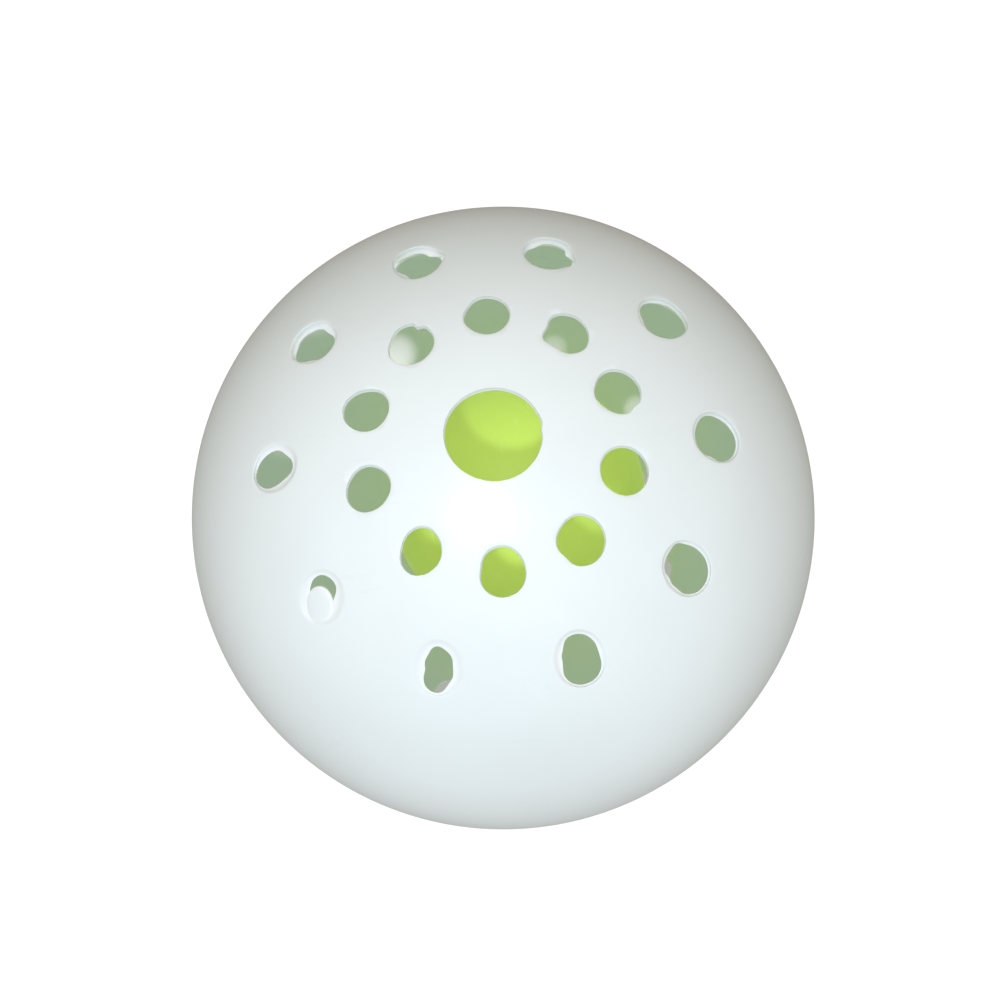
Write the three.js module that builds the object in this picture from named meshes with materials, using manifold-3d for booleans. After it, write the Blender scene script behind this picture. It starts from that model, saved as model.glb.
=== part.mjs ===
// A perforated hollow ball with a loose smaller ball inside it, in millimetres.
// The origin is the ball's centre. +Z runs up the polar axis, through the upper half's large hole,
// and +X points at a hole of the outer ring.
import * as THREE from "three";
import { mergeVertices, toCreasedNormals } from "three/addons/utils/BufferGeometryUtils.js";
import Module from "manifold-3d";

const wasm = await Module();
wasm.setup();

// Shell: two moulded halves that meet in a stepped joint at the equator
const BALL_RADIUS = 37;
const SHELL_WALL = 1.5;
const SHELL_SIDES = 48;
const SHELL_ROWS = 12;
const SHELL_LAP_HEIGHT = 1.2; // how far the upper half's tongue reaches into the lower half
const SHELL_SEAM_GAP = 0.12; // between the halves, all along the stepped joint

// Holes: each half leaves its mould along the polar axis, so every hole runs parallel to it
const POLE_HOLE_RADIUS = 4.5;
const RING_HOLE_RADIUS = 2.2;
const HOLES_PER_RING = 10;
const RINGS = [
  { distance: 12.5, firstAzimuth: 18 }, // distance from the polar axis to a hole's own axis
  { distance: 21.6, firstAzimuth: 0 },
];
const LOWER_CLOCKING = 27.5; // turn of the lower half's holes about the polar axis, from the upper half's
const CUTTER_START = 15; // height above the equator where the cutters of the holes begin
const POLE_HOLE_SIDES = 32;
const RING_HOLE_SIDES = 20;

// Flap: waste from one hole of the outer ring, still joined to the rim along one side
const FLAP_HOLE_AZIMUTH = 216;
const FLAP_THICKNESS = 0.7;
const FLAP_HALF_LENGTH = 1.8;
const FLAP_HALF_WIDTH = 1.3;
const FLAP_SHIFT = 0.85; // from the hole's axis towards the rim that holds the flap
const FLAP_SHIFT_AZIMUTH = 248;
const FLAP_DEPTH = 0.75; // of its middle, below the ball's outer surface

// Core: the loose ball, two halves that meet in a stepped joint of their own
const CORE_RADIUS = 17.5;
const CORE_WALL = 1;
const CORE_SIDES = 32;
const CORE_ROWS = 8;
const CORE_LAP_HEIGHT = 0.8;
const CORE_SEAM_GAP = 0.12;
const CORE_CLEARANCE = 0.3; // between the core and the inner wall that it lies against
const CORE_AZIMUTH = 71.5;
const CORE_TILT = 21.2; // of the core's place away from straight down

const CREASE_ANGLE = 35; // faces that meet at more than this are shaded with a sharp edge
const WHITE_PLASTIC = { color: 0xeef4f4, roughness: 0.28, metalness: 0 };
const LIME_PLASTIC = { color: 0xb2d354, roughness: 0.38, metalness: 0 };

function degrees(angle) {
  return THREE.MathUtils.degToRad(angle);
}

function toManifold(geometry) {
  const merged = geometry.clone();
  merged.deleteAttribute("normal");
  merged.deleteAttribute("uv");
  const closed = mergeVertices(merged, 1e-4);
  return new wasm.Manifold(new wasm.Mesh({
    numProp: 3,
    vertProperties: new Float32Array(closed.attributes.position.array),
    triVerts: new Uint32Array(closed.index.array),
  }));
}

function toGeometry(manifold) {
  const mesh = manifold.getMesh();
  const geometry = new THREE.BufferGeometry();
  geometry.setAttribute("position", new THREE.BufferAttribute(mesh.vertProperties, 3));
  geometry.setIndex(new THREE.BufferAttribute(mesh.triVerts, 1));
  return toCreasedNormals(geometry, degrees(CREASE_ANGLE));
}

// Points of a quarter circle in the lathe's plane, from one height to another
function arc(radius, fromHeight, toHeight, rows) {
  const from = Math.asin(fromHeight / radius);
  const to = Math.asin(toHeight / radius);
  const points = [];
  for (let row = 0; row <= rows; row += 1) {
    const angle = from + ((to - from) * row) / rows;
    const distance = Math.abs(Math.cos(angle)) < 1e-9 ? 0 : radius * Math.cos(angle);
    points.push(new THREE.Vector2(distance, radius * Math.sin(angle)));
  }
  return points;
}

// A turned solid about Z. The lathe turns its profile about Y, so the solid is stood up.
function turned(profile, sides) {
  return toManifold(new THREE.LatheGeometry(profile, sides).rotateX(Math.PI / 2));
}

// One dome with the joint's inner tongue, which reaches below the joint by the lap's height
function tongueHalf({ radius, wall, lap, gap, sides, rows }) {
  const inner = radius - wall;
  const face = gap / 2;
  const tongue = radius - wall / 2 - face;
  return turned([
    new THREE.Vector2(tongue, -lap),
    new THREE.Vector2(tongue, face),
    ...arc(radius, face, radius, rows),
    ...arc(inner, inner, -lap, rows),
    new THREE.Vector2(tongue, -lap),
  ], sides);
}

// The other dome, upside down in place, with the rebate that takes the tongue
function rebateHalf({ radius, wall, lap, gap, sides, rows }) {
  const inner = radius - wall;
  const face = gap / 2;
  const rebate = radius - wall / 2 + face;
  return turned([
    new THREE.Vector2(rebate, -face),
    new THREE.Vector2(rebate, -lap - gap),
    ...arc(inner, -lap - gap, -inner, rows),
    ...arc(radius, -radius, -face, rows),
    new THREE.Vector2(rebate, -face),
  ], sides);
}

// An upright cylinder through one cap: side is 1 for the upper cap and -1 for the lower one
function holeCutter(radius, sides, distance, azimuth, side) {
  return toManifold(
    new THREE.CylinderGeometry(radius, radius, BALL_RADIUS, sides)
      .rotateX(Math.PI / 2)
      .translate(
        distance * Math.cos(azimuth),
        distance * Math.sin(azimuth),
        side * (BALL_RADIUS / 2 + CUTTER_START),
      ),
  );
}

// Every hole of one cap: the large one at the pole and the two rings of small ones
function perforated(half, side, clocking) {
  let solid = half.subtract(holeCutter(POLE_HOLE_RADIUS, POLE_HOLE_SIDES, 0, 0, side));
  for (const ring of RINGS) {
    for (let hole = 0; hole < HOLES_PER_RING; hole += 1) {
      const azimuth = degrees(ring.firstAzimuth + clocking + (360 / HOLES_PER_RING) * hole);
      solid = solid.subtract(
        holeCutter(RING_HOLE_RADIUS, RING_HOLE_SIDES, ring.distance, azimuth, side),
      );
    }
  }
  return solid;
}

// The flap is a thin oval disc that lies along the shell's wall and overlaps the hole's rim
function flap() {
  const hole = degrees(FLAP_HOLE_AZIMUTH);
  const shift = degrees(FLAP_SHIFT_AZIMUTH);
  const distance = RINGS[1].distance;
  const place = new THREE.Vector3(
    distance * Math.cos(hole) + FLAP_SHIFT * Math.cos(shift),
    distance * Math.sin(hole) + FLAP_SHIFT * Math.sin(shift),
    0,
  );
  const middle = BALL_RADIUS - FLAP_DEPTH;
  place.z = Math.sqrt(middle ** 2 - place.x ** 2 - place.y ** 2);
  const tilt = new THREE.Quaternion().setFromUnitVectors(
    new THREE.Vector3(0, 0, 1),
    place.clone().normalize(),
  );
  return toManifold(
    new THREE.CylinderGeometry(1, 1, FLAP_THICKNESS, RING_HOLE_SIDES)
      .rotateX(Math.PI / 2)
      .scale(FLAP_HALF_LENGTH, FLAP_HALF_WIDTH, 1)
      .rotateZ(shift)
      .applyQuaternion(tilt)
      .translate(place.x, place.y, place.z),
  );
}

function part(name, manifold, finish) {
  const mesh = new THREE.Mesh(toGeometry(manifold), new THREE.MeshStandardMaterial(finish));
  mesh.name = name;
  return mesh;
}

const shellSizes = {
  radius: BALL_RADIUS,
  wall: SHELL_WALL,
  lap: SHELL_LAP_HEIGHT,
  gap: SHELL_SEAM_GAP,
  sides: SHELL_SIDES,
  rows: SHELL_ROWS,
};

const coreSizes = {
  radius: CORE_RADIUS,
  wall: CORE_WALL,
  lap: CORE_LAP_HEIGHT,
  gap: CORE_SEAM_GAP,
  sides: CORE_SIDES,
  rows: CORE_ROWS,
};

const ball = new THREE.Group();
ball.add(
  part("shell_upper_half", perforated(tongueHalf(shellSizes), 1, 0).add(flap()), WHITE_PLASTIC),
  part("shell_lower_half", perforated(rebateHalf(shellSizes), -1, LOWER_CLOCKING), WHITE_PLASTIC),
);

// The core lies against the inner wall, with its own joint facing the ball's centre
const core = new THREE.Group();
const coreDistance = BALL_RADIUS - SHELL_WALL - CORE_RADIUS - CORE_CLEARANCE;
const corePlace = new THREE.Vector3(
  Math.sin(degrees(CORE_TILT)) * Math.cos(degrees(CORE_AZIMUTH)),
  Math.sin(degrees(CORE_TILT)) * Math.sin(degrees(CORE_AZIMUTH)),
  -Math.cos(degrees(CORE_TILT)),
);
core.quaternion.setFromUnitVectors(new THREE.Vector3(0, 0, -1), corePlace);
core.position.copy(corePlace.multiplyScalar(coreDistance));
core.add(
  part("core_upper_half", tongueHalf(coreSizes), LIME_PLASTIC),
  part("core_lower_half", rebateHalf(coreSizes), LIME_PLASTIC),
);
ball.add(core);

export default ball;
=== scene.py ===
"""Looks for a perforated plastic ball for paddle sport, with a loose smaller ball inside it.

Two white moulded halves meet at the equator. Every hole runs parallel to the polar axis, with a
rounded mouth, and the lime inner ball lies against the far wall. Lengths are in metres, in the
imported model's own frame.
"""

import logging
import math
import random
from collections.abc import Callable
from dataclasses import dataclass, field
from enum import Enum
from functools import lru_cache

import bmesh
import bpy
from mathutils import Matrix, Vector


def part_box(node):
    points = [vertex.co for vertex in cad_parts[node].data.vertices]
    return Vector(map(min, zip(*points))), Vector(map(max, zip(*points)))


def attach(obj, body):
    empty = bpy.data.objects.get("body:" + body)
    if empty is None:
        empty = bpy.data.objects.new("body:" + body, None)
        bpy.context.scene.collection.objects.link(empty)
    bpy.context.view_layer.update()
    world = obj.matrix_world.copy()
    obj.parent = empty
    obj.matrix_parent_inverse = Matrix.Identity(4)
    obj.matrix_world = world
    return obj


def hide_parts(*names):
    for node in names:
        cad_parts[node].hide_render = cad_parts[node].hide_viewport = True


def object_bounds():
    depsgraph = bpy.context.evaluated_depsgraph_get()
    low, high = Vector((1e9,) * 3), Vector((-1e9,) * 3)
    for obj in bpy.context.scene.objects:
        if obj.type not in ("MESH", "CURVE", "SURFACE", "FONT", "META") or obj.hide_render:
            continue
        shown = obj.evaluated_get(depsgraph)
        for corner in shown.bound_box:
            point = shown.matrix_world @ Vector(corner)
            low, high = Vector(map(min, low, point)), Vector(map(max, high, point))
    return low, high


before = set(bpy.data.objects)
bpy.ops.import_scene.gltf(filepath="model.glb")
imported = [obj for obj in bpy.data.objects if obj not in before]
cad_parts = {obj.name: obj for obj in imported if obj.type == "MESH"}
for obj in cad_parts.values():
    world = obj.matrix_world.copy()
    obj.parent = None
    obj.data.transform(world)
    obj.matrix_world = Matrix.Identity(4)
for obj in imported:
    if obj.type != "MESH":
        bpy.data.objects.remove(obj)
CAD_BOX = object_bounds()

LOG = logging.getLogger("ball")
MM = 0.001
ORIGIN = Vector((0.0, 0.0, 0.0))
CORNER_STEPS = 4

Colour = tuple[float, float, float, float]
BLACK: Colour = (0.0, 0.0, 0.0, 1.0)
WHITE: Colour = (1.0, 1.0, 1.0, 1.0)


# --------------------------------------------------------------------------- shader maths


@dataclass(frozen=True)
class Wire:
    """A shader socket whose operators add Math nodes.

    Args:
        graph: The graph that the socket's node belongs to.
        socket: The output socket that this wire carries.
    """

    graph: "Graph"
    socket: bpy.types.NodeSocket

    def _math(self, operation: str, first: "Wire | float", second: "Wire | float") -> "Wire":
        """Adds one Math node of two values and returns its result."""
        return self.graph.node("ShaderNodeMath", {"operation": operation}, {0: first, 1: second})

    def __add__(self, other: "Wire | float") -> "Wire":
        """Returns this value plus another."""
        return self._math("ADD", self, other)

    def __radd__(self, other: float) -> "Wire":
        """Returns a number plus this value."""
        return self._math("ADD", other, self)

    def __sub__(self, other: "Wire | float") -> "Wire":
        """Returns this value minus another."""
        return self._math("SUBTRACT", self, other)

    def __rsub__(self, other: float) -> "Wire":
        """Returns a number minus this value."""
        return self._math("SUBTRACT", other, self)

    def __mul__(self, other: "Wire | float") -> "Wire":
        """Returns this value times another."""
        return self._math("MULTIPLY", self, other)

    def __rmul__(self, other: float) -> "Wire":
        """Returns a number times this value."""
        return self._math("MULTIPLY", other, self)

    def ramp(self, low: float, high: float, start: float = 0.0, end: float = 1.0) -> "Wire":
        """Maps this value smoothly from one range to another, and holds it at the ends.

        Args:
            low: The value where the result starts to change.
            high: The value where the result stops changing.
            start: The result at low.
            end: The result at high.

        Returns:
            The mapped value.
        """
        return self.graph.node(
            "ShaderNodeMapRange",
            {"interpolation_type": "SMOOTHSTEP", "clamp": True},
            {"Value": self, "From Min": low, "From Max": high, "To Min": start, "To Max": end},
        )


class Graph:
    """The node tree of one material or world, with one way to add a node."""

    def __init__(self, tree: bpy.types.NodeTree) -> None:
        """Keeps the tree and clears it.

        Args:
            tree: The node tree to fill.
        """
        self.tree = tree
        self.tree.nodes.clear()

    def node(
        self,
        kind: str,
        settings: dict[str, object] | None = None,
        inputs: dict[int | str, object] | None = None,
        output: int | str = 0,
    ) -> Wire:
        """Adds a node, sets it up and joins its inputs.

        Args:
            kind: The node's type name.
            settings: Its properties, set first; "stops" gives a colour ramp's positions and colours.
            inputs: A value or a Wire for each input, by index or by name.
            output: The output to return.

        Returns:
            A wire on the output that was asked for.
        """
        made = self.tree.nodes.new(kind)
        for name, value in (settings or {}).items():
            if name == "stops":
                self._set_stops(made.color_ramp, value)
            else:
                setattr(made, name, value)
        for key, value in (inputs or {}).items():
            if isinstance(value, Wire):
                self.tree.links.new(value.socket, made.inputs[key])
            else:
                made.inputs[key].default_value = value
        return Wire(self, made.outputs[output]) if len(made.outputs) else Wire(self, None)

    @staticmethod
    def _set_stops(ramp: bpy.types.ColorRamp, stops: tuple[tuple[float, Colour], ...]) -> None:
        """Gives a colour ramp its stops.

        Args:
            ramp: The ramp, new from its node.
            stops: Pairs of position and colour, in order.
        """
        while len(ramp.elements) < len(stops):
            ramp.elements.new(1.0)
        for element, (position, colour) in zip(ramp.elements, stops):
            element.position = position
            element.color = colour

    def place(self) -> Wire:
        """Returns the piece's own coordinates, in metres."""
        return self.node("ShaderNodeTexCoord", output="Object")

    def noise(self, place: Wire, scale: float, detail: float = 2.0, rough: float = 0.5) -> Wire:
        """Adds a noise texture.

        Args:
            place: The coordinates that it reads.
            scale: How many features it has to a metre.
            detail: How many finer layers it adds.
            rough: How strong the finer layers are.

        Returns:
            Its value, about 0.5 on average.
        """
        return self.node(
            "ShaderNodeTexNoise",
            inputs={"Vector": place, "Scale": scale, "Detail": detail, "Roughness": rough},
        )

    def stretched(self, place: Wire, factors: tuple[float, float, float]) -> Wire:
        """Returns coordinates scaled along each axis, for patterns that run one way."""
        return self.node("ShaderNodeMapping", inputs={"Vector": place, "Scale": factors})

    def mix(self, share: Wire | float, first: object, second: object) -> Wire:
        """Mixes two colours.

        Args:
            share: How much of the second colour shows, 0 to 1.
            first: A colour or a wire that carries one.
            second: A colour or a wire that carries one.

        Returns:
            The mixed colour.
        """
        return self.node(
            "ShaderNodeMix",
            {"data_type": "RGBA", "clamp_factor": True},
            {0: share, 6: first, 7: second},
            output=2,
        )

    def from_centre(self, place: Wire, centre: Vector) -> Wire:
        """Measures how far each point lies from a centre.

        Args:
            place: The coordinates to measure from.
            centre: The centre.

        Returns:
            The distance, in metres.
        """
        away = self.node(
            "ShaderNodeVectorMath", {"operation": "SUBTRACT"}, {0: place, 1: tuple(centre)}
        )
        return self.node(
            "ShaderNodeVectorMath", {"operation": "LENGTH"}, {0: away}, output="Value"
        )

    def bump(self, height: Wire, distance: float, strength: float) -> Wire:
        """Turns a height into a normal.

        Args:
            height: The height, 0 to 1.
            distance: How far a height of 1 stands out.
            strength: How much of it is used.

        Returns:
            The bumped normal.
        """
        return self.node(
            "ShaderNodeBump", inputs={"Height": height, "Distance": distance, "Strength": strength}
        )

    def surface(self, sockets: dict[str, object]) -> None:
        """Ends a material in one Principled shader with these sockets set."""
        shader = self.node("ShaderNodeBsdfPrincipled", inputs=sockets)
        self.node("ShaderNodeOutputMaterial", inputs={"Surface": shader})


def new_material(name: str) -> tuple[bpy.types.Material, Graph]:
    """Starts a material.

    Args:
        name: The material's name.

    Returns:
        The material and its empty graph.
    """
    material = bpy.data.materials.new(name)
    material.use_nodes = True
    return material, Graph(material.node_tree)


# --------------------------------------------------------------------------- finishes


@dataclass(frozen=True)
class ShellPlastic:
    """Smooth white moulded plastic with light handling marks.

    Args:
        name: The material's name.
        colour: The clean outer skin.
        worn: The skin where the gloss is rubbed away.
        inside_colour: The inner wall: painted shade and a painted tint for the lime ball's light.
        inside_glow: A stand-in for the light that comes through the thin wall into the hollow.
        edge_glow: A stand-in for the light that comes out of the wall where a hole cuts it.
        roughness: The clean skin's roughness.
        radius: The ball's outer radius.
        wall: The wall's thickness.
    """

    name: str
    radius: float
    wall: float
    colour: Colour = (0.86, 0.895, 0.9, 1.0)
    worn: Colour = (0.78, 0.81, 0.81, 1.0)
    inside_colour: Colour = (0.8, 0.82, 0.79, 1.0)
    inside_glow: Colour = (0.054, 0.068, 0.088, 1.0)
    edge_glow: Colour = (0.12, 0.1, 0.11, 1.0)
    roughness: float = 0.3

    def make(self) -> bpy.types.Material:
        """Builds the material.

        Returns:
            The finished material.
        """
        material, g = new_material(self.name)
        place = g.place()
        radius = g.from_centre(place, ORIGIN)
        inner_skin = self.radius - self.wall
        inside = radius.ramp(inner_skin + 0.3 * MM, inner_skin + 0.1 * MM)
        cut = radius.ramp(self.radius - 0.1 * MM, self.radius - 0.5 * MM)
        haze = g.noise(place, scale=70.0, detail=3.0).ramp(0.35, 0.75)
        flow = g.noise(g.stretched(place, (40.0, 40.0, 170.0)), scale=1.0, detail=3.0)
        grain = g.noise(place, scale=2600.0)
        orange_peel = g.noise(place, scale=420.0)
        scuffs = self._scuffs(g, place)
        outer = g.mix(haze * 0.3 + scuffs * 0.2, self.colour, self.worn)
        g.surface({
            "Base Color": g.mix(inside, outer, self.inside_colour),
            "Roughness": self.roughness + haze * 0.05 + flow * 0.04 + scuffs * 0.16 + inside * 0.2,
            "Specular IOR Level": 0.5,
            "Normal": g.bump(
                orange_peel * 0.7 + grain * 0.12 + flow * 0.5 - scuffs * 0.35,
                distance=0.02 * MM, strength=0.5,
            ),
            "Emission Color": g.mix(inside, g.mix(cut, BLACK, self.edge_glow), self.inside_glow),
            "Emission Strength": 1.0,
        })
        return material

    @staticmethod
    def _scuffs(g: Graph, place: Wire) -> Wire:
        """Returns a mask of fine rubbed streaks, gathered in patches.

        Args:
            g: The graph to add to.
            place: The piece's coordinates.

        Returns:
            1 on a streak and 0 on clean skin.
        """
        lengthways = g.noise(g.stretched(place, (90.0, 1500.0, 700.0)), scale=1.0).ramp(0.66, 0.72)
        crossways = g.noise(g.stretched(place, (1300.0, 110.0, 900.0)), scale=1.0).ramp(0.67, 0.73)
        patches = g.noise(place, scale=55.0).ramp(0.5, 0.62)
        return (lengthways + crossways) * patches


@dataclass(frozen=True)
class CorePlastic:
    """Lime moulded plastic with a satin skin and faint mottling.

    Args:
        name: The material's name.
        colour: The lime itself.
        deep: The lime where it lies a little thicker.
        rubbed: The lime where the ball has rubbed on the inner wall.
        glow: A stand-in for the light that it takes through the outer ball's wall.
        roughness: The clean skin's roughness.
    """

    name: str
    colour: Colour = (0.6, 0.75, 0.115, 1.0)
    deep: Colour = (0.54, 0.7, 0.095, 1.0)
    rubbed: Colour = (0.74, 0.78, 0.22, 1.0)
    glow: Colour = (0.175, 0.235, 0.041, 1.0)
    roughness: float = 0.42

    def make(self) -> bpy.types.Material:
        """Builds the material.

        Returns:
            The finished material.
        """
        material, g = new_material(self.name)
        place = g.place()
        mottle = g.noise(place, scale=160.0, detail=4.0, rough=0.6).ramp(0.3, 0.75)
        streaks = g.noise(g.stretched(place, (900.0, 120.0, 700.0)), scale=1.0).ramp(0.64, 0.74)
        grain = g.noise(place, scale=2200.0)
        lime = g.mix(mottle * 0.5, self.colour, self.deep)
        g.surface({
            "Base Color": g.mix(streaks * 0.4, lime, self.rubbed),
            "Emission Color": self.glow,
            "Emission Strength": 1.0,
            "Roughness": self.roughness + mottle * 0.08 + streaks * 0.1,
            "Normal": g.bump(
                mottle * 0.4 + grain * 0.25 + streaks * 0.3, distance=0.02 * MM, strength=0.6
            ),
        })
        return material


@dataclass(frozen=True)
class FloorFinish:
    """A plain pale floor with a painted shade under the ball.

    Args:
        name: The material's name.
        colour: What the lamps light.
        own_light: What keeps the floor pale all round.
        shaded: The same right under the ball, where slivers of it show through the holes.
        shade_reach: How far the painted shade reaches from where the ball touches.
        full_shade: The share of that reach inside which the shade is full.
    """

    name: str = "pale_floor"
    colour: Colour = (0.3, 0.3, 0.3, 1.0)
    own_light: Colour = (0.88, 0.88, 0.88, 1.0)
    shaded: Colour = (0.27, 0.29, 0.25, 1.0)
    shade_reach: float = 40 * MM
    full_shade: float = 0.65

    def make(self) -> bpy.types.Material:
        """Builds the material.

        Returns:
            The finished material.
        """
        material, g = new_material(self.name)
        away = g.from_centre(g.stretched(g.place(), (1.0, 1.0, 0.0)), ORIGIN)
        shade = away.ramp(self.shade_reach, self.full_shade * self.shade_reach)
        g.surface({
            "Base Color": self.colour,
            "Roughness": 0.9,
            "Specular IOR Level": 0.1,
            "Emission Color": g.mix(shade, self.own_light, self.shaded),
            "Emission Strength": 1.0,
        })
        return material


# --------------------------------------------------------------------------- mesh helpers


def finish_piece(
    bm: bmesh.types.BMesh, name: str, material: bpy.types.Material, crease: float = 48.0
) -> bpy.types.Object:
    """Turns a bmesh into a piece at the origin, shaded smooth except at its creases.

    Args:
        bm: The mesh, in its place; it is freed.
        name: The piece's name.
        material: Its only material.
        crease: The angle in degrees above which an edge stays sharp.

    Returns:
        The new object.
    """
    bmesh.ops.recalc_face_normals(bm, faces=bm.faces[:])
    for face in bm.faces:
        face.smooth = True
    mesh = bpy.data.meshes.new(name)
    bm.to_mesh(mesh)
    bm.free()
    mesh.set_sharp_from_angle(angle=math.radians(crease))
    mesh.materials.append(material)
    return put_in_scene(name, mesh)


def put_in_scene(
    name: str, data: bpy.types.ID, place: Matrix | None = None
) -> bpy.types.Object:
    """Makes an object of some data and links it to the scene.

    Args:
        name: The object's name.
        data: The mesh, lamp or camera that it shows.
        place: Where it stands; at the origin if it isn't given.

    Returns:
        The new object.
    """
    made = bpy.data.objects.new(name, data)
    if place is not None:
        made.matrix_world = place
    bpy.context.scene.collection.objects.link(made)
    return made


def turned(section: list[Vector], sides: int) -> bmesh.types.BMesh:
    """Turns a section all the way round the z axis.

    Args:
        section: Its points in order, in the plane of x and z.
        sides: How many steps the full turn has.

    Returns:
        The new mesh.
    """
    bm = bmesh.new()
    verts = [bm.verts.new(point) for point in section]
    edges = [bm.edges.new(pair) for pair in zip(verts, verts[1:])]
    bmesh.ops.spin(
        bm, geom=verts + edges, cent=(0, 0, 0), axis=(0, 0, 1), angle=math.tau,
        steps=sides, use_merge=True, use_duplicate=False,
    )
    return bm


def curve_between(start: Vector, corner: Vector, end: Vector, steps: int) -> list[Vector]:
    """Rounds a corner with a curve that leaves and arrives along its sides.

    Args:
        start: Where the curve leaves the first side.
        corner: The corner that it rounds.
        end: Where it meets the second side.
        steps: How many points follow the start.

    Returns:
        The points after the start, the end included.
    """
    points = []
    for step in range(1, steps + 1):
        t = step / steps
        points.append((1 - t) ** 2 * start + 2 * t * (1 - t) * corner + t * t * end)
    return points


def spread(start: float, end: float, steps: int) -> list[float]:
    """Returns evenly spaced numbers after the start, the end included."""
    return [start + (end - start) * step / steps for step in range(1, steps + 1)]


def arc(radius: float, start: float, end: float, steps: int) -> list[Vector]:
    """Returns the points of an arc about the origin, without its start.

    Args:
        radius: Its radius.
        start: The angle above the equator where it starts, in radians.
        end: The angle where it ends.
        steps: How many points follow the start.

    Returns:
        The points in the plane of x and z.
    """
    return [
        Vector((radius * math.cos(angle), 0.0, radius * math.sin(angle)))
        for angle in spread(start, end, steps)
    ]


# --------------------------------------------------------------------------- shell


class Lap(Enum):
    """Which side of the stepped joint a half carries."""

    TONGUE = 1
    REBATE = -1


@lru_cache
def lobes(seed: int) -> tuple[tuple[int, float], ...]:
    """Returns the count and the phase of each wave in an uneven round edge."""
    phases = random.Random(seed)
    return tuple((count, phases.uniform(0.0, math.tau)) for count in (2, 3, 5, 8))


@dataclass(frozen=True)
class Film:
    """A stretch of thin moulding film that narrows a hole on one side.

    Args:
        bearing: Its middle, seen from the hole's axis, in degrees round the polar axis's way.
        reach: How far it stands in from the bore; a negative reach widens the hole there.
        spread: How many degrees it covers to either side of its middle.
    """

    bearing: float
    reach: float
    spread: float


@dataclass(frozen=True)
class Hole:
    """One hole through a cap. Its axis is parallel to the polar axis.

    Args:
        distance: Its axis's distance from the polar axis.
        azimuth: Its place round the polar axis, in degrees.
        bore: Its half width.
        mouth: Its half width where its dished mouth starts on the outer skin, at least.
        film_depth: How far the film's edge lies below the outer skin.
        lean: How far it is set off its packed place, towards bearing 270, for its looks.
        flare: How much wider it is behind the film, which keeps its bore out of sight.
        films: The moulding film in it.
        wobble: How uneven its edge is, as a share of its width.
        seed: Chooses where the edge is uneven.
        lip: The least width of its mouth.
    """

    distance: float
    azimuth: float
    bore: float
    mouth: float
    film_depth: float
    lean: float = 0.0
    flare: float = 0.0
    films: tuple[Film, ...] = ()
    wobble: float = 0.012
    seed: int = 0
    lip: float = 0.1 * MM

    def centre(self) -> Vector:
        """Returns its axis's place in plan."""
        turn = math.radians(self.azimuth)
        return self.distance * Vector((math.cos(turn), math.sin(turn))) - Vector((0.0, self.lean))

    def opening(self, bearing: float) -> float:
        """Works out how far the film's edge lies from the axis.

        Args:
            bearing: The direction from the axis, in radians.

        Returns:
            The distance.
        """
        uneven = sum(math.cos(n * bearing + phase) / n for n, phase in lobes(self.seed))
        reach = self.bore * (1.0 + self.wobble * uneven)
        for film in self.films:
            away = math.remainder(bearing - math.radians(film.bearing), math.tau)
            reach -= film.reach * math.exp(-((away / math.radians(film.spread)) ** 2))
        return reach

    def rim(self, bearing: float) -> float:
        """Returns the distance from the axis to the mouth's edge, in a direction in radians."""
        return max(self.mouth, self.opening(bearing) + self.lip)

    def throat(self) -> float:
        """Returns its half width behind the film."""
        return self.bore + self.flare


@dataclass(frozen=True)
class Block:
    """The patch that is cut out of the skin and of the inner wall round each hole of a ring.

    Args:
        near: Its side nearer the polar axis, as a distance from it.
        far: Its side farther from the polar axis.
        half_turn: How far it reaches to either side of its hole, in degrees.
        rows: How many rows of faces it has.
    """

    near: float
    far: float
    half_turn: float
    rows: int


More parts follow.
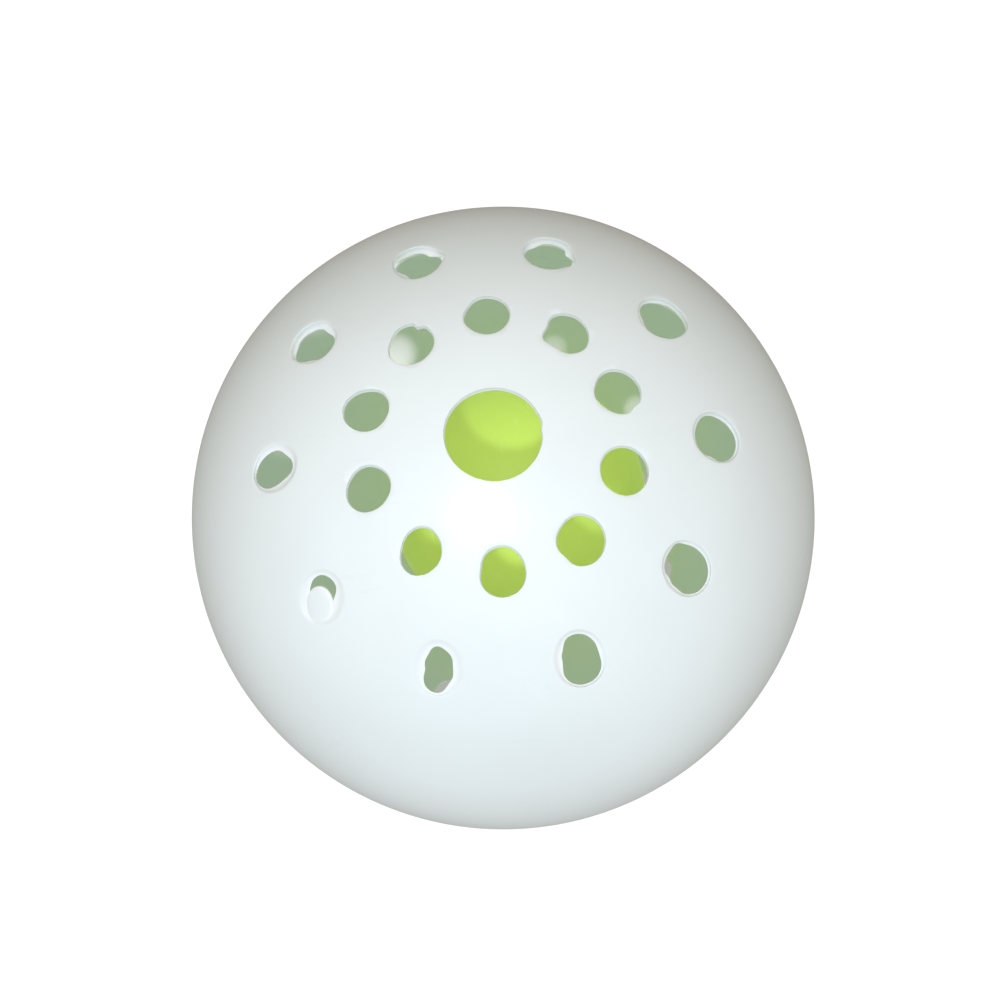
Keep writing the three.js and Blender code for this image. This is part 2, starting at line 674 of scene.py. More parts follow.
@dataclass
class ShellHalf:
    """One moulded half of the outer ball, with its holes.

    Args:
        name: The piece's name.
        lap: Its side of the stepped joint, which also says which way up it is.
        radius: The ball's outer radius.
        pole: Its large hole.
        holes: Its small holes.
        wall: The wall's thickness.
        sides: How many steps the skin has round the polar axis.
        plain_rows: How many rows lie between one ring's blocks and the next.
        side_rows: How many rows lie between the last ring's blocks and the seam.
        seam_round: The rounding of the edge at the seam.
        seam_half_gap: Half the gap between the halves.
        lap_height: How far the tongue reaches.
        inner_round: The rounding of a hole's edge on the inner wall.
        weld: Points of a hole's lining that lie closer than this become one.
    """

    name: str
    lap: Lap
    radius: float
    pole: Hole
    holes: list[Hole]
    wall: float = 1.5 * MM
    sides: int = 240
    plain_rows: int = 4
    side_rows: int = 30
    seam_round: float = 0.16 * MM
    seam_half_gap: float = 0.02 * MM
    lap_height: float = 1.2 * MM
    inner_round: float = 0.22 * MM
    weld: float = 0.002 * MM

    POLE_EDGE = 6.4 * MM
    INNER_BLOCK = Block(near=9.2 * MM, far=15.8 * MM, half_turn=15.0, rows=14)
    OUTER_BLOCK = Block(near=18.2 * MM, far=25.0 * MM, half_turn=9.0, rows=14)

    def height(self, radius: float, distance: float) -> float:
        """Returns the height of a sphere's skin at a distance from the polar axis."""
        return math.sqrt(max(radius * radius - distance * distance, 0.0))

    def distances(self) -> list[float]:
        """Lists the rows' distances from the polar axis, out to the last ring's blocks.

        Returns:
            The distances, nearest first.
        """
        rows = [self.POLE_EDGE]
        for block in (self.INNER_BLOCK, self.OUTER_BLOCK):
            rows += spread(rows[-1], block.near, self.plain_rows)
            rows += spread(block.near, block.far, block.rows)
        return rows

    def band(self, radius: float, low: float) -> list[Vector]:
        """Returns the section's stretch from the last ring's blocks down to a height."""
        top = math.asin(self.height(radius, self.OUTER_BLOCK.far) / radius)
        return arc(radius, top, math.asin(low / radius), self.side_rows)

    def profile(self) -> list[Vector]:
        """Draws the half's section, from the large hole's outer edge round to its inner edge.

        Returns:
            The section's points, in the plane of x and z.
        """
        inner_radius = self.radius - self.wall
        step = self.radius - self.wall / 2
        gap, rise = self.seam_half_gap, self.seam_round
        skin = [Vector((d, 0.0, self.height(self.radius, d))) for d in self.distances()]
        lining = [Vector((d, 0.0, self.height(inner_radius, d))) for d in self.distances()]
        points = skin + self.band(self.radius, gap + rise)
        corner = Vector((self.radius, 0.0, gap))
        points += curve_between(points[-1], corner, corner - Vector((rise, 0.0, 0.0)), CORNER_STEPS)
        if self.lap is Lap.TONGUE:
            face, foot = step - gap, -self.lap_height
        else:
            face, foot = step + gap, self.lap_height + 2 * gap
        points += [Vector((face, 0.0, gap)), Vector((face, 0.0, foot))]
        return points + self.band(inner_radius, foot)[::-1] + lining[::-1]

    def build(self, material: bpy.types.Material) -> bpy.types.Object:
        """Turns the section round the polar axis, opens the holes and finishes the piece.

        Args:
            material: The white plastic.

        Returns:
            The finished half.
        """
        bm = turned(self.profile(), self.sides)
        self.open_holes(bm, [self.pole], self.edges_at_pole(bm))
        bm.edges.index_update()
        self.open_holes(bm, self.holes, self.cut_blocks(bm))
        if self.lap is Lap.REBATE:
            bmesh.ops.scale(bm, vec=(1.0, 1.0, -1.0), verts=bm.verts[:])
        return finish_piece(bm, self.name, material)

    def edges_at_pole(self, bm: bmesh.types.BMesh) -> list[bmesh.types.BMEdge]:
        """Returns the open edges round the large hole, on the skin and on the inner wall."""
        return [edge for edge in bm.edges if edge.is_boundary]

    def cut_blocks(self, bm: bmesh.types.BMesh) -> list[bmesh.types.BMEdge]:
        """Removes the faces round every small hole, on the skin and on the inner wall.

        Args:
            bm: The half's mesh.

        Returns:
            The edges left open round the holes.
        """
        inside = set()
        for face in bm.faces:
            place = face.calc_center_median()
            distance = math.hypot(place.x, place.y)
            bearing = math.atan2(place.y, place.x)
            for block in (self.INNER_BLOCK, self.OUTER_BLOCK):
                if place.z < self.radius / 2 or not block.near < distance < block.far:
                    continue
                for hole in self.holes:
                    away = math.remainder(bearing - math.radians(hole.azimuth), math.tau)
                    beside = abs(away) < math.radians(block.half_turn)
                    if beside and block.near < hole.distance < block.far:
                        inside.add(face)
        rims = {
            edge for face in inside for edge in face.edges
            if sum(other in inside for other in edge.link_faces) == 1
        }
        rims = sorted(rims, key=lambda edge: edge.index)
        bmesh.ops.delete(bm, geom=list(inside), context="FACES")
        return rims

    def open_holes(
        self, bm: bmesh.types.BMesh, holes: list[Hole], rims: list[bmesh.types.BMEdge]
    ) -> None:
        """Lines holes, all at once: dished mouths, films, bores and edges on the inner wall.

        Args:
            bm: The half's mesh.
            holes: The holes.
            rims: The open edges round them, on the skin and on the inner wall.
        """
        inner_radius = self.radius - self.wall
        between = (self.radius + inner_radius) / 2
        skin = [edge for edge in rims if edge.verts[0].co.length > between]
        lining = [edge for edge in rims if edge.verts[0].co.length < between]
        centres = [(hole, hole.centre()) for hole in holes]

        def ring(
            edges: list[bmesh.types.BMEdge],
            radius: float,
            reach_at: Callable[[Hole, float, float], float],
            depth_at: Callable[[Hole], float] = lambda hole: 0.0,
        ) -> list[bmesh.types.BMEdge]:
            """Extrudes the loops of edges once and moves each new loop about its hole's axis.

            Args:
                edges: The loops.
                radius: The sphere that the new loops are measured down from.
                reach_at: Gives a new distance from the axis, by hole, bearing and old distance.
                depth_at: Gives the depth below the sphere, by hole.

            Returns:
                The new loops.
            """
            made = bmesh.ops.extrude_edge_only(bm, edges=edges)["geom"]
            verts = {item for item in made if isinstance(item, bmesh.types.BMVert)}
            for vert in verts:
                hole, centre = min(centres, key=lambda pair: (vert.co.xy - pair[1]).length_squared)
                away = vert.co.xy - centre
                reach = reach_at(hole, math.atan2(away.y, away.x), away.length)
                plan = centre + away.normalized() * reach
                vert.co = (plan.x, plan.y, self.height(radius, plan.length) - depth_at(hole))
            return [
                item for item in made
                if isinstance(item, bmesh.types.BMEdge) and set(item.verts) <= verts
            ]

        edges, meeting = skin, lining
        for left in (3, 2, 1):
            edges = ring(edges, self.radius, lambda hole, bearing, reach: (
                reach + (hole.rim(bearing) - reach) / left
            ))
        for share, depth in self.mouth_section():
            edges = ring(edges, self.radius, lambda hole, bearing, _: (
                hole.opening(bearing) + share * (hole.rim(bearing) - hole.opening(bearing))
            ), lambda hole: depth * hole.film_depth)
        for share, depth in self.film_section():
            edges = ring(edges, self.radius, lambda hole, bearing, _: (
                hole.opening(bearing) + share * (hole.throat() - hole.opening(bearing))
            ), lambda hole: hole.film_depth + depth)
        turn = [Vector((0.0, self.inner_round)), Vector((0.0, 0.0)), Vector((self.inner_round, 0.0))]
        for step in [turn[0], *curve_between(*turn, steps=3)]:
            edges = ring(
                edges, inner_radius, lambda hole, *_: hole.throat() + step.x, lambda hole: -step.y
            )
        for left in (2, 1):
            meeting = ring(meeting, inner_radius, lambda hole, _, reach: (
                reach + (hole.throat() + self.inner_round - reach) / left
            ))
        verts = list({vert for edge in edges + meeting for vert in edge.verts})
        bmesh.ops.remove_doubles(bm, verts=verts, dist=self.weld)

    @staticmethod
    def mouth_section() -> list[Vector]:
        """Returns a mouth's section, from its edge on the skin down to the film's edge.

        Returns:
            Points of (share of the way from the film's edge to the mouth, share of its depth).
        """
        shoulder = Vector((0.6, 0.36))
        wall = Vector((0.14, 0.84))
        points = curve_between(Vector((1.0, 0.0)), Vector((0.78, 0.01)), shoulder, 5)
        points += curve_between(shoulder, Vector((0.36, 0.7)), wall, 3)
        return points + curve_between(wall, Vector((0.0, 0.92)), Vector((0.0, 1.0)), 3)

    @staticmethod
    def film_section() -> list[Vector]:
        """Returns the section under a film's edge, out to the bore.

        Returns:
            Points of (share of the way from the film's edge to the bore, depth below that edge).
        """
        return [Vector((0.0, 0.07 * MM)), Vector((0.35, 0.12 * MM)), Vector((1.0, 0.16 * MM))]


# --------------------------------------------------------------------------- inner ball


@dataclass
class CoreHalf:
    """One moulded half of the inner ball.

    Args:
        name: The piece's name.
        lap: Its side of the stepped joint.
        radius: The inner ball's outer radius.
        centre: The inner ball's centre.
        down: The way from the outer ball's centre to the inner one's.
        wall: The wall's thickness.
        sides: How many steps the skin has round its own axis.
        rows: How many steps it has from the joint to its top.
        seam_round: The rounding of the edge at the seam.
        seam_half_gap: Half the gap between the halves.
        lap_height: How far the tongue reaches.
        weld: Points that lie closer than this become one, at the top.
    """

    name: str
    lap: Lap
    radius: float
    centre: Vector
    down: Vector
    wall: float = 1.0 * MM
    sides: int = 160
    rows: int = 40
    seam_round: float = 0.12 * MM
    seam_half_gap: float = 0.02 * MM
    lap_height: float = 0.8 * MM
    weld: float = 0.001 * MM

    def profile(self) -> list[Vector]:
        """Draws the half's section, from the top of its skin round to the top of its hollow.

        Returns:
            The section's points, in the plane of x and z.
        """
        gap, rise = self.seam_half_gap, self.seam_round
        hollow = self.radius - self.wall
        step = self.radius - self.wall / 2
        points = [Vector((0.0, 0.0, self.radius))]
        seam_angle = math.asin((gap + rise) / self.radius)
        points += arc(self.radius, math.pi / 2, seam_angle, self.rows)
        corner = Vector((self.radius, 0.0, gap))
        points += curve_between(points[-1], corner, corner - Vector((rise, 0.0, 0.0)), CORNER_STEPS)
        side = self.lap.value
        face = step - side * gap
        foot = -side * self.lap_height + (0.0 if side > 0 else 2 * gap)
        points += [Vector((face, 0.0, gap)), Vector((face, 0.0, foot))]
        top_down = [Vector((0.0, 0.0, hollow))]
        top_down += arc(hollow, math.pi / 2, math.asin(foot / hollow), self.rows)
        return points + top_down[::-1]

    def build(self, material: bpy.types.Material) -> bpy.types.Object:
        """Turns the section round its axis and puts the half in its place.

        Args:
            material: The lime plastic.

        Returns:
            The finished half.
        """
        bm = turned(self.profile(), self.sides)
        bmesh.ops.remove_doubles(bm, verts=bm.verts[:], dist=self.weld)
        if self.lap is Lap.REBATE:
            bmesh.ops.scale(bm, vec=(1.0, 1.0, -1.0), verts=bm.verts[:])
        turn = Vector((0.0, 0.0, -1.0)).rotation_difference(self.down).to_matrix().to_4x4()
        bmesh.ops.transform(bm, matrix=Matrix.Translation(self.centre) @ turn, verts=bm.verts[:])
        return finish_piece(bm, self.name, material)


# --------------------------------------------------------------------------- moulding waste


@dataclass
class WasteFlap:
    """Waste plastic that still hangs in one hole, joined to its rim along one side.

    Args:
        radius: The ball's outer radius.
        hole: The hole that it half closes.
        shift: How far it lies from the hole's axis.
        bearing: Which way it lies from the axis, in degrees.
        halves: Its half length, half width and half thickness.
        depth: How far its middle lies below the outer skin.
        flatness: Flattens its top and bottom; 1 would leave them round.
    """

    radius: float
    hole: Hole
    shift: float = 0.6 * MM
    bearing: float = 245.0
    halves: tuple[float, float, float] = (1.95 * MM, 1.55 * MM, 0.42 * MM)
    depth: float = 0.5 * MM
    flatness: float = 0.7

    def build(self, material: bpy.types.Material) -> bpy.types.Object:
        """Flattens and tilts a ball of plastic into the flap.

        Args:
            material: The white plastic.

        Returns:
            The finished flap.
        """
        bm = bmesh.new()
        bmesh.ops.create_uvsphere(bm, u_segments=40, v_segments=24, radius=1.0)
        for vert in bm.verts:
            vert.co.z = math.copysign(abs(vert.co.z) ** self.flatness, vert.co.z)
        bmesh.ops.scale(bm, vec=self.halves, verts=bm.verts[:])
        bearing = math.radians(self.bearing)
        bmesh.ops.rotate(
            bm, cent=(0, 0, 0), matrix=Matrix.Rotation(bearing, 3, "Z"), verts=bm.verts[:]
        )
        plan = self.hole.centre() + self.shift * Vector((math.cos(bearing), math.sin(bearing)))
        level = self.radius - self.depth
        place = Vector((plan.x, plan.y, math.sqrt(level * level - plan.length_squared)))
        tilt = Vector((0.0, 0.0, 1.0)).rotation_difference(place).to_matrix().to_4x4()
        bmesh.ops.transform(bm, matrix=Matrix.Translation(place) @ tilt, verts=bm.verts[:])
        return finish_piece(bm, "waste_flap", material)


# --------------------------------------------------------------------------- studio


@dataclass
class Studio:
    """The floor, the soft light and the camera.

    Args:
        floor_height: Where the floor lies.
        radius: The ball's outer radius.
        distance: How far the camera stands from the ball's centre, in ball radii.
        room_size: How far the floor reaches each way.
        backdrop_share: The backdrop's radius, as a share of that.
        right: The camera's right.
        up: The camera's up.
        lens: Its focal length in millimetres.
        shift: Its lens shift.
        patches: The beams that make pale patches on the far wall, set for the camera's own view:
        where each crosses the skin in plan, its half width there, and its power.
        patch_colour: The beams' colour, which evens out the green of the far wall.
        flash_place: How far the flash stands to the camera's right and above it.
        flash_size: Its diameter.
        flash_power: Its power in watts.
        core_flash_power: The power of a second flash at its place, for the inner ball alone.
        core_flash_colour: That flash's colour.
        glint_place: How far the lamp that makes the glint stands to the camera's right and above.
        glint_size: Its diameter.
        glint_power: Its power in watts.
        through_wall_size: The diameter of the lamp that the outer ball doesn't block.
        through_wall_power: Its power in watts.
        light_axis: The way along which the soft light changes.
        room_light: The soft light's colours, from behind the ball (0) to along that axis (1).
    """

    floor_height: float
    radius: float
    distance: float = 3.8
    room_size: float = 3.0
    backdrop_share: float = 0.8
    right: Vector = field(default_factory=lambda: Vector((0.99768, -0.06319, -0.02549)))
    up: Vector = field(default_factory=lambda: Vector((0.06718, 0.97466, 0.21338)))
    lens: float = 41.07
    shift: tuple[float, float] = (-0.0027, 0.0175)
    patches: tuple[tuple[tuple[float, float], float, float], ...] = (
        ((-8.6 * MM, 9.0 * MM), 2.2 * MM, 0.75),
        ((6.2 * MM, 8.2 * MM), 1.5 * MM, 0.4),
        ((13.5 * MM, 2.2 * MM), 1.4 * MM, 0.4),
    )
    patch_colour: tuple[float, float, float] = (0.9, 0.74, 1.0)
    flash_place: tuple[float, float] = (-5.8 * MM, -11.3 * MM)
    flash_size: float = 4 * MM
    flash_power: float = 0.046
    core_flash_power: float = 0.04
    core_flash_colour: tuple[float, float, float] = (0.35, 0.63, 1.0)
    glint_place: tuple[float, float] = (-15 * MM, 2 * MM)
    glint_size: float = 12 * MM
    glint_power: float = 0.04
    through_wall_size: float = 0.5
    through_wall_power: float = 1.3
    light_axis: tuple[float, float, float] = (-0.08, -0.641, 0.764)
    room_light: tuple[tuple[float, Colour], ...] = (
        (0.0, (0.17, 0.14, 0.1, 1.0)),
        (0.3, (0.28, 0.24, 0.17, 1.0)),
        (0.45, (0.66, 0.6, 0.5, 1.0)),
        (0.55, (0.86, 0.8, 0.72, 1.0)),
        (0.65, (0.8, 0.83, 0.81, 1.0)),
        (0.8, (0.64, 0.72, 0.7, 1.0)),
        (1.0, (0.62, 0.69, 0.82, 1.0)),
    )

    def view(self) -> Matrix:
        """Works out where the camera stands and how it is turned.

        Returns:
            Its matrix, with the lens towards the ball's centre.
        """
        right = self.right.normalized()
        back = right.cross(self.up).normalized()
        up = back.cross(right)
        turn = Matrix((right, up, back)).transposed().to_4x4()
        return Matrix.Translation(back * self.distance * self.radius) @ turn

    def add_camera(self) -> None:
        """Adds the camera and makes it the scene's."""
        data = bpy.data.cameras.new("camera")
        data.lens = self.lens
        data.sensor_width = 36.0
        data.shift_x, data.shift_y = self.shift
        data.clip_start = 0.005
        bpy.context.scene.camera = put_in_scene("camera", data, self.view())

    def add_lamp(
        self, name: str, beside: tuple[float, float], power: float, size: float
    ) -> bpy.types.Object:
        """Adds a round lamp near the camera, aimed at the ball.

        Args:
            name: The lamp's name.
            beside: How far it stands to the camera's right and above the camera.
            power: Its power in watts.
            size: Its diameter.

        Returns:
            The lamp.
        """
        data = bpy.data.lights.new(name, "AREA")
        data.shape = "DISK"
        data.size = size
        data.energy = power
        right, up, back = self.view().to_3x3().col
        place = back * self.distance * self.radius + right * beside[0] + up * beside[1]
        turn = place.to_track_quat("Z", "Y").to_matrix().to_4x4()
        return put_in_scene(name, data, Matrix.Translation(place) @ turn)

    def add_wall_beam(
        self, name: str, plan: tuple[float, float], reach: float, power: float
    ) -> bpy.types.Object:
        """Adds a narrow beam from the camera through one hole.

        Args:
            name: The beam's name.
            plan: Where it crosses the ball's skin, seen along the polar axis.
            reach: Its half width there.
            power: Its power in watts.

        Returns:
            The beam's lamp.
        """
        data = bpy.data.lights.new(name, "SPOT")
        back = self.view().to_3x3().col[2] * self.distance * self.radius
        aim = Vector((*plan, math.sqrt(self.radius ** 2 - Vector(plan).length_squared))) - back
        data.energy = power
        data.color = self.patch_colour
        data.spot_size = 2 * math.atan(reach / aim.length)
        data.spot_blend = 1.0
        data.shadow_soft_size = 0.0
        turn = aim.to_track_quat("-Z", "Y").to_matrix().to_4x4()
        return put_in_scene(name, data, Matrix.Translation(back) @ turn)

    def add_world(self) -> None:
        """Adds the soft light: dim behind the ball, brightest round its sides, cool in front."""
        world = bpy.data.worlds.new("soft_room")
        bpy.context.scene.world = world
        world.use_nodes = True
        g = Graph(world.node_tree)
        direction = g.node("ShaderNodeTexCoord", output="Generated")
        height = g.node(
            "ShaderNodeVectorMath", {"operation": "DOT_PRODUCT"},
            {0: direction, 1: self.light_axis}, output="Value",
        )
        colour = g.node("ShaderNodeValToRGB", {"stops": self.room_light}, {0: height * 0.5 + 0.5})
        light = g.node("ShaderNodeBackground", inputs={"Color": colour, "Strength": 1.0})
        g.node("ShaderNodeOutputWorld", inputs={"Surface": light})

    def add_floor(self, material: bpy.types.Material) -> None:
        """Adds the floor, which sends no light back up on to the ball.

        Args:
            material: The floor's finish.
        """
        bm = bmesh.new()
        bmesh.ops.create_grid(bm, x_segments=1, y_segments=1, size=self.room_size)
        bmesh.ops.translate(bm, vec=(0.0, 0.0, self.floor_height), verts=bm.verts[:])
        floor = finish_piece(bm, "floor", material)
        floor.visible_diffuse = False
        floor.visible_glossy = False

    def add_backdrop(self) -> None:
        """Adds the pale backdrop behind the floor, which only the camera sees."""
        material, g = new_material("pale_backdrop")
        g.surface({
            "Base Color": BLACK,
            "Specular IOR Level": 0.0,
            "Emission Color": WHITE,
            "Emission Strength": 1.0,
        })
        bm = bmesh.new()
        radius = self.backdrop_share * self.room_size
        bmesh.ops.create_uvsphere(bm, u_segments=48, v_segments=24, radius=radius)
        backdrop = finish_piece(bm, "backdrop", material)
        backdrop.visible_diffuse = False
        backdrop.visible_glossy = False
        backdrop.visible_transmission = False
        backdrop.visible_shadow = False

    def light_only(self, lamp: bpy.types.Object, pieces: list[bpy.types.Object]) -> None:
        """Keeps a lamp's light to some pieces, and out of the reflections.

        Args:
            lamp: The lamp.
            pieces: What it lights.
        """
        lit = bpy.data.collections.new(lamp.name)
        for piece in pieces:
            lit.objects.link(piece)
        lamp.light_linking.receiver_collection = lit
        lamp.visible_glossy = False

    def light_inside(self, cores: list[bpy.types.Object], far_wall: bpy.types.Object) -> None:
        """Adds stand-ins for the light inside the ball, and the pale patches on its far wall.

        Args:
            cores: The inner ball's halves.
            far_wall: The outer ball's lower half.
        """
        through_wall = self.add_lamp(
            "through_wall_lamp", (0.0, 0.0), self.through_wall_power, self.through_wall_size
        )
        self.light_only(through_wall, cores)
        linking = through_wall.light_linking
        linking.blocker_collection = linking.receiver_collection
        core_flash = self.add_lamp(
            "flash_in_pole_hole", self.flash_place, self.core_flash_power, self.flash_size
        )
        core_flash.data.color = self.core_flash_colour
        self.light_only(core_flash, cores)
        for number, (plan, reach, power) in enumerate(self.patches):
            beam = self.add_wall_beam(f"flash_patch_{number}", plan, reach, power)
            self.light_only(beam, [far_wall])

    def build(self) -> None:
        """Sets up everything that isn't part of the ball."""
        scene = bpy.context.scene
        scene.view_settings.view_transform = "Standard"
        self.add_camera()
        self.add_world()
        self.add_floor(FloorFinish().make())
        self.add_backdrop()
        flash = self.add_lamp("flash_beam", self.flash_place, self.flash_power, self.flash_size)
        flash.visible_glossy = False
        glint = self.add_lamp("flash_glint", self.glint_place, self.glint_power, self.glint_size)
        glint.visible_diffuse = False


# --------------------------------------------------------------------------- the ball


class Ring(Enum):
    """A ring of small holes, by its distance from the polar axis."""

    INNER = 12.5 * MM
    OUTER = 21.6 * MM


@dataclass(frozen=True)
class HoleForm:
    """What sets one small hole apart from a plain one.

    Args:
        film_depth: How far its film's edge lies below the outer skin.
        lean: How far it is set off its packed place.
        flare: How much wider it is behind the film.
        films: The moulding film in it.
    """

    film_depth: float
    lean: float
    flare: float
    films: tuple[Film, ...]


# Each small hole of the upper cap, by ring and azimuth.
UPPER_CAP = {
    (Ring.INNER, 18): HoleForm(0.5 * MM, 0.1 * MM, 0.5 * MM, (
        Film(160, 0.16 * MM, 25), Film(315, 0.22 * MM, 14), Film(235, 0.16 * MM, 30),
    )),
    (Ring.INNER, 54): HoleForm(0.45 * MM, 0.16 * MM, 0.5 * MM, (
        Film(155, 0.55 * MM, 30), Film(235, 0.36 * MM, 28), Film(315, -0.2 * MM, 30),
    )),
    (Ring.INNER, 90): HoleForm(0.5 * MM, 0.18 * MM, 0.5 * MM, (
        Film(150, 0.26 * MM, 35), Film(230, 0.16 * MM, 30),
    )),
    (Ring.INNER, 126): HoleForm(0.5 * MM, 0.18 * MM, 0.5 * MM, (
        Film(68, 0.42 * MM, 9), Film(160, 0.26 * MM, 30),
    )),
    (Ring.INNER, 162): HoleForm(0.5 * MM, 0.16 * MM, 0.5 * MM, (
        Film(80, 0.26 * MM, 32), Film(120, 0.16 * MM, 30), Film(235, 0.16 * MM, 40),
    )),
    (Ring.INNER, 198): HoleForm(0.45 * MM, 0.06 * MM, 0.5 * MM, (
        Film(60, 0.22 * MM, 50), Film(150, 0.2 * MM, 40), Film(315, 0.22 * MM, 50),
    )),
    (Ring.INNER, 234): HoleForm(0.45 * MM, 0.04 * MM, 0.5 * MM, (
        Film(165, 0.46 * MM, 40), Film(110, 0.2 * MM, 35), Film(20, 0.3 * MM, 50),
        Film(300, 0.26 * MM, 45),
    )),
    (Ring.INNER, 270): HoleForm(0.5 * MM, 0.04 * MM, 0.5 * MM, (
        Film(168, 0.34 * MM, 30), Film(110, 0.14 * MM, 30), Film(20, 0.16 * MM, 50),
    )),
    (Ring.INNER, 306): HoleForm(0.5 * MM, 0.05 * MM, 0.5 * MM, (
        Film(225, 0.22 * MM, 18), Film(145, 0.16 * MM, 30),
    )),
    (Ring.INNER, 342): HoleForm(0.45 * MM, 0.05 * MM, 0.5 * MM, ()),
    (Ring.OUTER, 0): HoleForm(0.8 * MM, 0.0, 0.45 * MM, (
        Film(112, -0.24 * MM, 26), Film(250, 0.28 * MM, 16),
    )),
    (Ring.OUTER, 36): HoleForm(0.8 * MM, 0.0, 0.5 * MM, (
        Film(190, 0.24 * MM, 22), Film(135, -0.24 * MM, 30), Film(345, -0.4 * MM, 30),
        Film(60, -0.14 * MM, 35),
    )),
    (Ring.OUTER, 72): HoleForm(1.1 * MM, 0.0, 0.25 * MM, (
        Film(12, 0.44 * MM, 18), Film(328, -0.62 * MM, 26), Film(172, -0.3 * MM, 22),
        Film(130, 0.2 * MM, 20),
    )),
    (Ring.OUTER, 108): HoleForm(1.1 * MM, 0.0, 0.25 * MM, (
        Film(52, 0.5 * MM, 26), Film(222, 0.55 * MM, 30), Film(8, -0.6 * MM, 20),
        Film(160, -0.4 * MM, 22),
    )),
    (Ring.OUTER, 144): HoleForm(1.15 * MM, 0.0, 0.1 * MM, (
        Film(40, 0.4 * MM, 26), Film(100, 0.2 * MM, 30), Film(170, 0.2 * MM, 24),
        Film(262, 0.5 * MM, 32), Film(205, -0.2 * MM, 16),
    )),
    (Ring.OUTER, 180): HoleForm(0.6 * MM, 0.0, 0.4 * MM, (
        Film(45, 0.62 * MM, 46), Film(300, 0.64 * MM, 44), Film(255, 0.18 * MM, 30),
        Film(188, -0.22 * MM, 20), Film(115, 0.24 * MM, 34),
    )),
    (Ring.OUTER, 216): HoleForm(0.5 * MM, 0.42 * MM, 0.3 * MM, (
        Film(345, 1.0 * MM, 42), Film(160, 0.9 * MM, 45), Film(255, 0.5 * MM, 50),
        Film(50, 0.2 * MM, 30),
    )),
    (Ring.OUTER, 252): HoleForm(0.5 * MM, 0.0, 0.3 * MM, (
        Film(355, 0.85 * MM, 46), Film(175, 1.0 * MM, 44), Film(122, 0.45 * MM, 24),
        Film(300, 0.36 * MM, 24), Film(60, 0.36 * MM, 34),
    )),
    (Ring.OUTER, 288): HoleForm(0.6 * MM, 0.0, 0.4 * MM, (
        Film(15, 0.32 * MM, 36), Film(188, 0.6 * MM, 32), Film(148, 0.3 * MM, 20),
    )),
    (Ring.OUTER, 324): HoleForm(0.6 * MM, 0.0, 0.45 * MM, (
        Film(235, 0.26 * MM, 18), Film(205, 0.3 * MM, 14), Film(112, -0.26 * MM, 18),
    )),
}


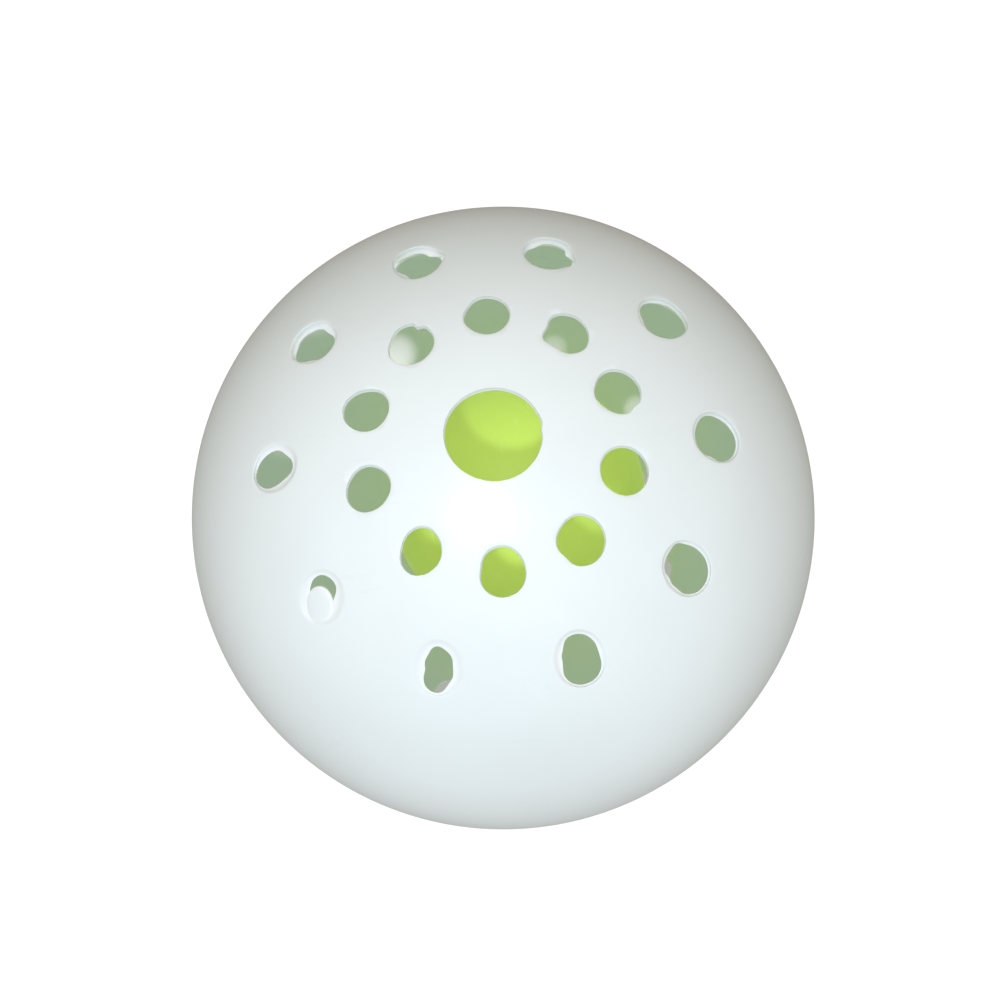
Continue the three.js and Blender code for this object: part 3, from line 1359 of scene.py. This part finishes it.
@dataclass
class Ball:
    """The whole ball; the imported model gives its outer radius and the inner ball's place.

    Args:
        holes_per_ring: How many small holes each ring has.
        lower_clocking: How far the lower cap's pattern is turned, in degrees.
        ring_bore: A small hole's half width, before its film.
        mouths: The least half width of a small hole's mouth, by ring.
        pole_bore: A large hole's half width, before its film.
        core_radius: The inner ball's outer radius.
        flapped_hole: The ring and the azimuth of the hole that the flap hangs in.
    """

    holes_per_ring: int = 10
    lower_clocking: float = 27.5
    ring_bore: float = 2.25 * MM
    mouths: dict[Ring, float] = field(
        default_factory=lambda: {Ring.INNER: 0.0, Ring.OUTER: 2.62 * MM}
    )
    pole_bore: float = 4.5 * MM
    core_radius: float = 17.5 * MM
    flapped_hole: tuple[Ring, int] = (Ring.OUTER, 216)

    def radius(self) -> float:
        """Returns the outer radius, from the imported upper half's width."""
        low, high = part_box("shell_upper_half")
        return (high.x - low.x) / 2

    def small_holes(
        self, clocking: float, first_seed: int, forms: dict[tuple[Ring, int], HoleForm]
    ) -> list[Hole]:
        """Lists one cap's small holes.

        Args:
            clocking: The turn of the cap's pattern about the polar axis, in degrees.
            first_seed: Makes each hole's unevenness its own.
            forms: Each hole's form, by ring and azimuth; a hole that isn't in it gets one film
                by chance.

        Returns:
            The holes of both rings.
        """
        pitch = 360 / self.holes_per_ring
        chance = random.Random(first_seed)
        holes = []
        for number in range(self.holes_per_ring):
            for ring, turn in ((Ring.INNER, pitch / 2), (Ring.OUTER, 0.0)):
                azimuth = pitch * number + turn
                any_film = Film(chance.uniform(0, 360), chance.uniform(-0.1, 0.4) * MM, 30)
                plain = HoleForm(0.9 * MM, 0.0, 0.0, (any_film,))
                form = forms.get((ring, round(azimuth)), plain)
                holes.append(Hole(
                    ring.value, clocking + azimuth, self.ring_bore, self.mouths[ring],
                    form.film_depth, form.lean, form.flare, form.films,
                    seed=first_seed + len(holes),
                ))
        return holes

    def pole_hole(self, seed: int) -> Hole:
        """Returns a cap's large hole.

        Args:
            seed: Chooses where its edge is uneven.

        Returns:
            The hole, on the polar axis.
        """
        films = (
            Film(100, 0.16 * MM, 45), Film(0, 0.12 * MM, 5), Film(12, -0.07 * MM, 7),
            Film(245, 0.12 * MM, 40),
        )
        return Hole(
            distance=0.0, azimuth=0.0, bore=self.pole_bore, mouth=0.0, film_depth=0.5 * MM,
            lean=0.1 * MM, flare=0.5 * MM, films=films, wobble=0.005, seed=seed,
        )

    def core_centre(self) -> Vector:
        """Finds the inner ball's centre from the boxes of its packed halves.

        Returns:
            The centre.
        """
        boxes = [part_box("core_upper_half"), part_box("core_lower_half")]
        low = Vector([min(box[0][axis] for box in boxes) for axis in range(3)])
        high = Vector([max(box[1][axis] for box in boxes) for axis in range(3)])
        return (low + high) / 2

    def build(self) -> dict[str, bpy.types.Object]:
        """Builds every piece, hangs each on its body and hides the imported parts that it replaces.

        Returns:
            The pieces by name.
        """
        pieces = {}
        radius = self.radius()
        white = ShellPlastic("white_shell_plastic", radius, ShellHalf.wall).make()
        lime = CorePlastic("lime_core_plastic").make()
        upper_holes = self.small_holes(0.0, 100, UPPER_CAP)
        halves = [
            ShellHalf("upper_shell", Lap.TONGUE, radius, self.pole_hole(1), upper_holes),
            ShellHalf(
                "lower_shell", Lap.REBATE, radius, self.pole_hole(2),
                self.small_holes(self.lower_clocking, 200, {}),
            ),
        ]
        for half, node in zip(halves, ("shell_upper_half", "shell_lower_half")):
            piece = half.build(white)
            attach(piece, "shell")
            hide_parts(node)
            pieces[half.name] = piece
            LOG.info("%s: %d faces", piece.name, len(piece.data.polygons))
        ring, azimuth = self.flapped_hole
        flapped = next(
            hole for hole in upper_holes
            if hole.distance == ring.value and round(hole.azimuth) == azimuth
        )
        flap = WasteFlap(radius, flapped).build(white)
        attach(flap, "shell")
        centre = self.core_centre()
        down = centre.normalized()
        for name, lap, node in (
            ("upper_core", Lap.TONGUE, "core_upper_half"),
            ("lower_core", Lap.REBATE, "core_lower_half"),
        ):
            piece = CoreHalf(name, lap, self.core_radius, centre, down).build(lime)
            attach(piece, "core")
            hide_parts(node)
            pieces[name] = piece
            LOG.info("%s: %d faces", piece.name, len(piece.data.polygons))
        return pieces


def main() -> None:
    """Builds the studio and the ball."""
    logging.basicConfig(level=logging.INFO)
    ball = Ball()
    studio = Studio(floor_height=CAD_BOX[0][2], radius=ball.radius())
    studio.build()
    pieces = ball.build()
    studio.light_inside([pieces["upper_core"], pieces["lower_core"]], pieces["lower_shell"])


if __name__ == "__main__":
    main()
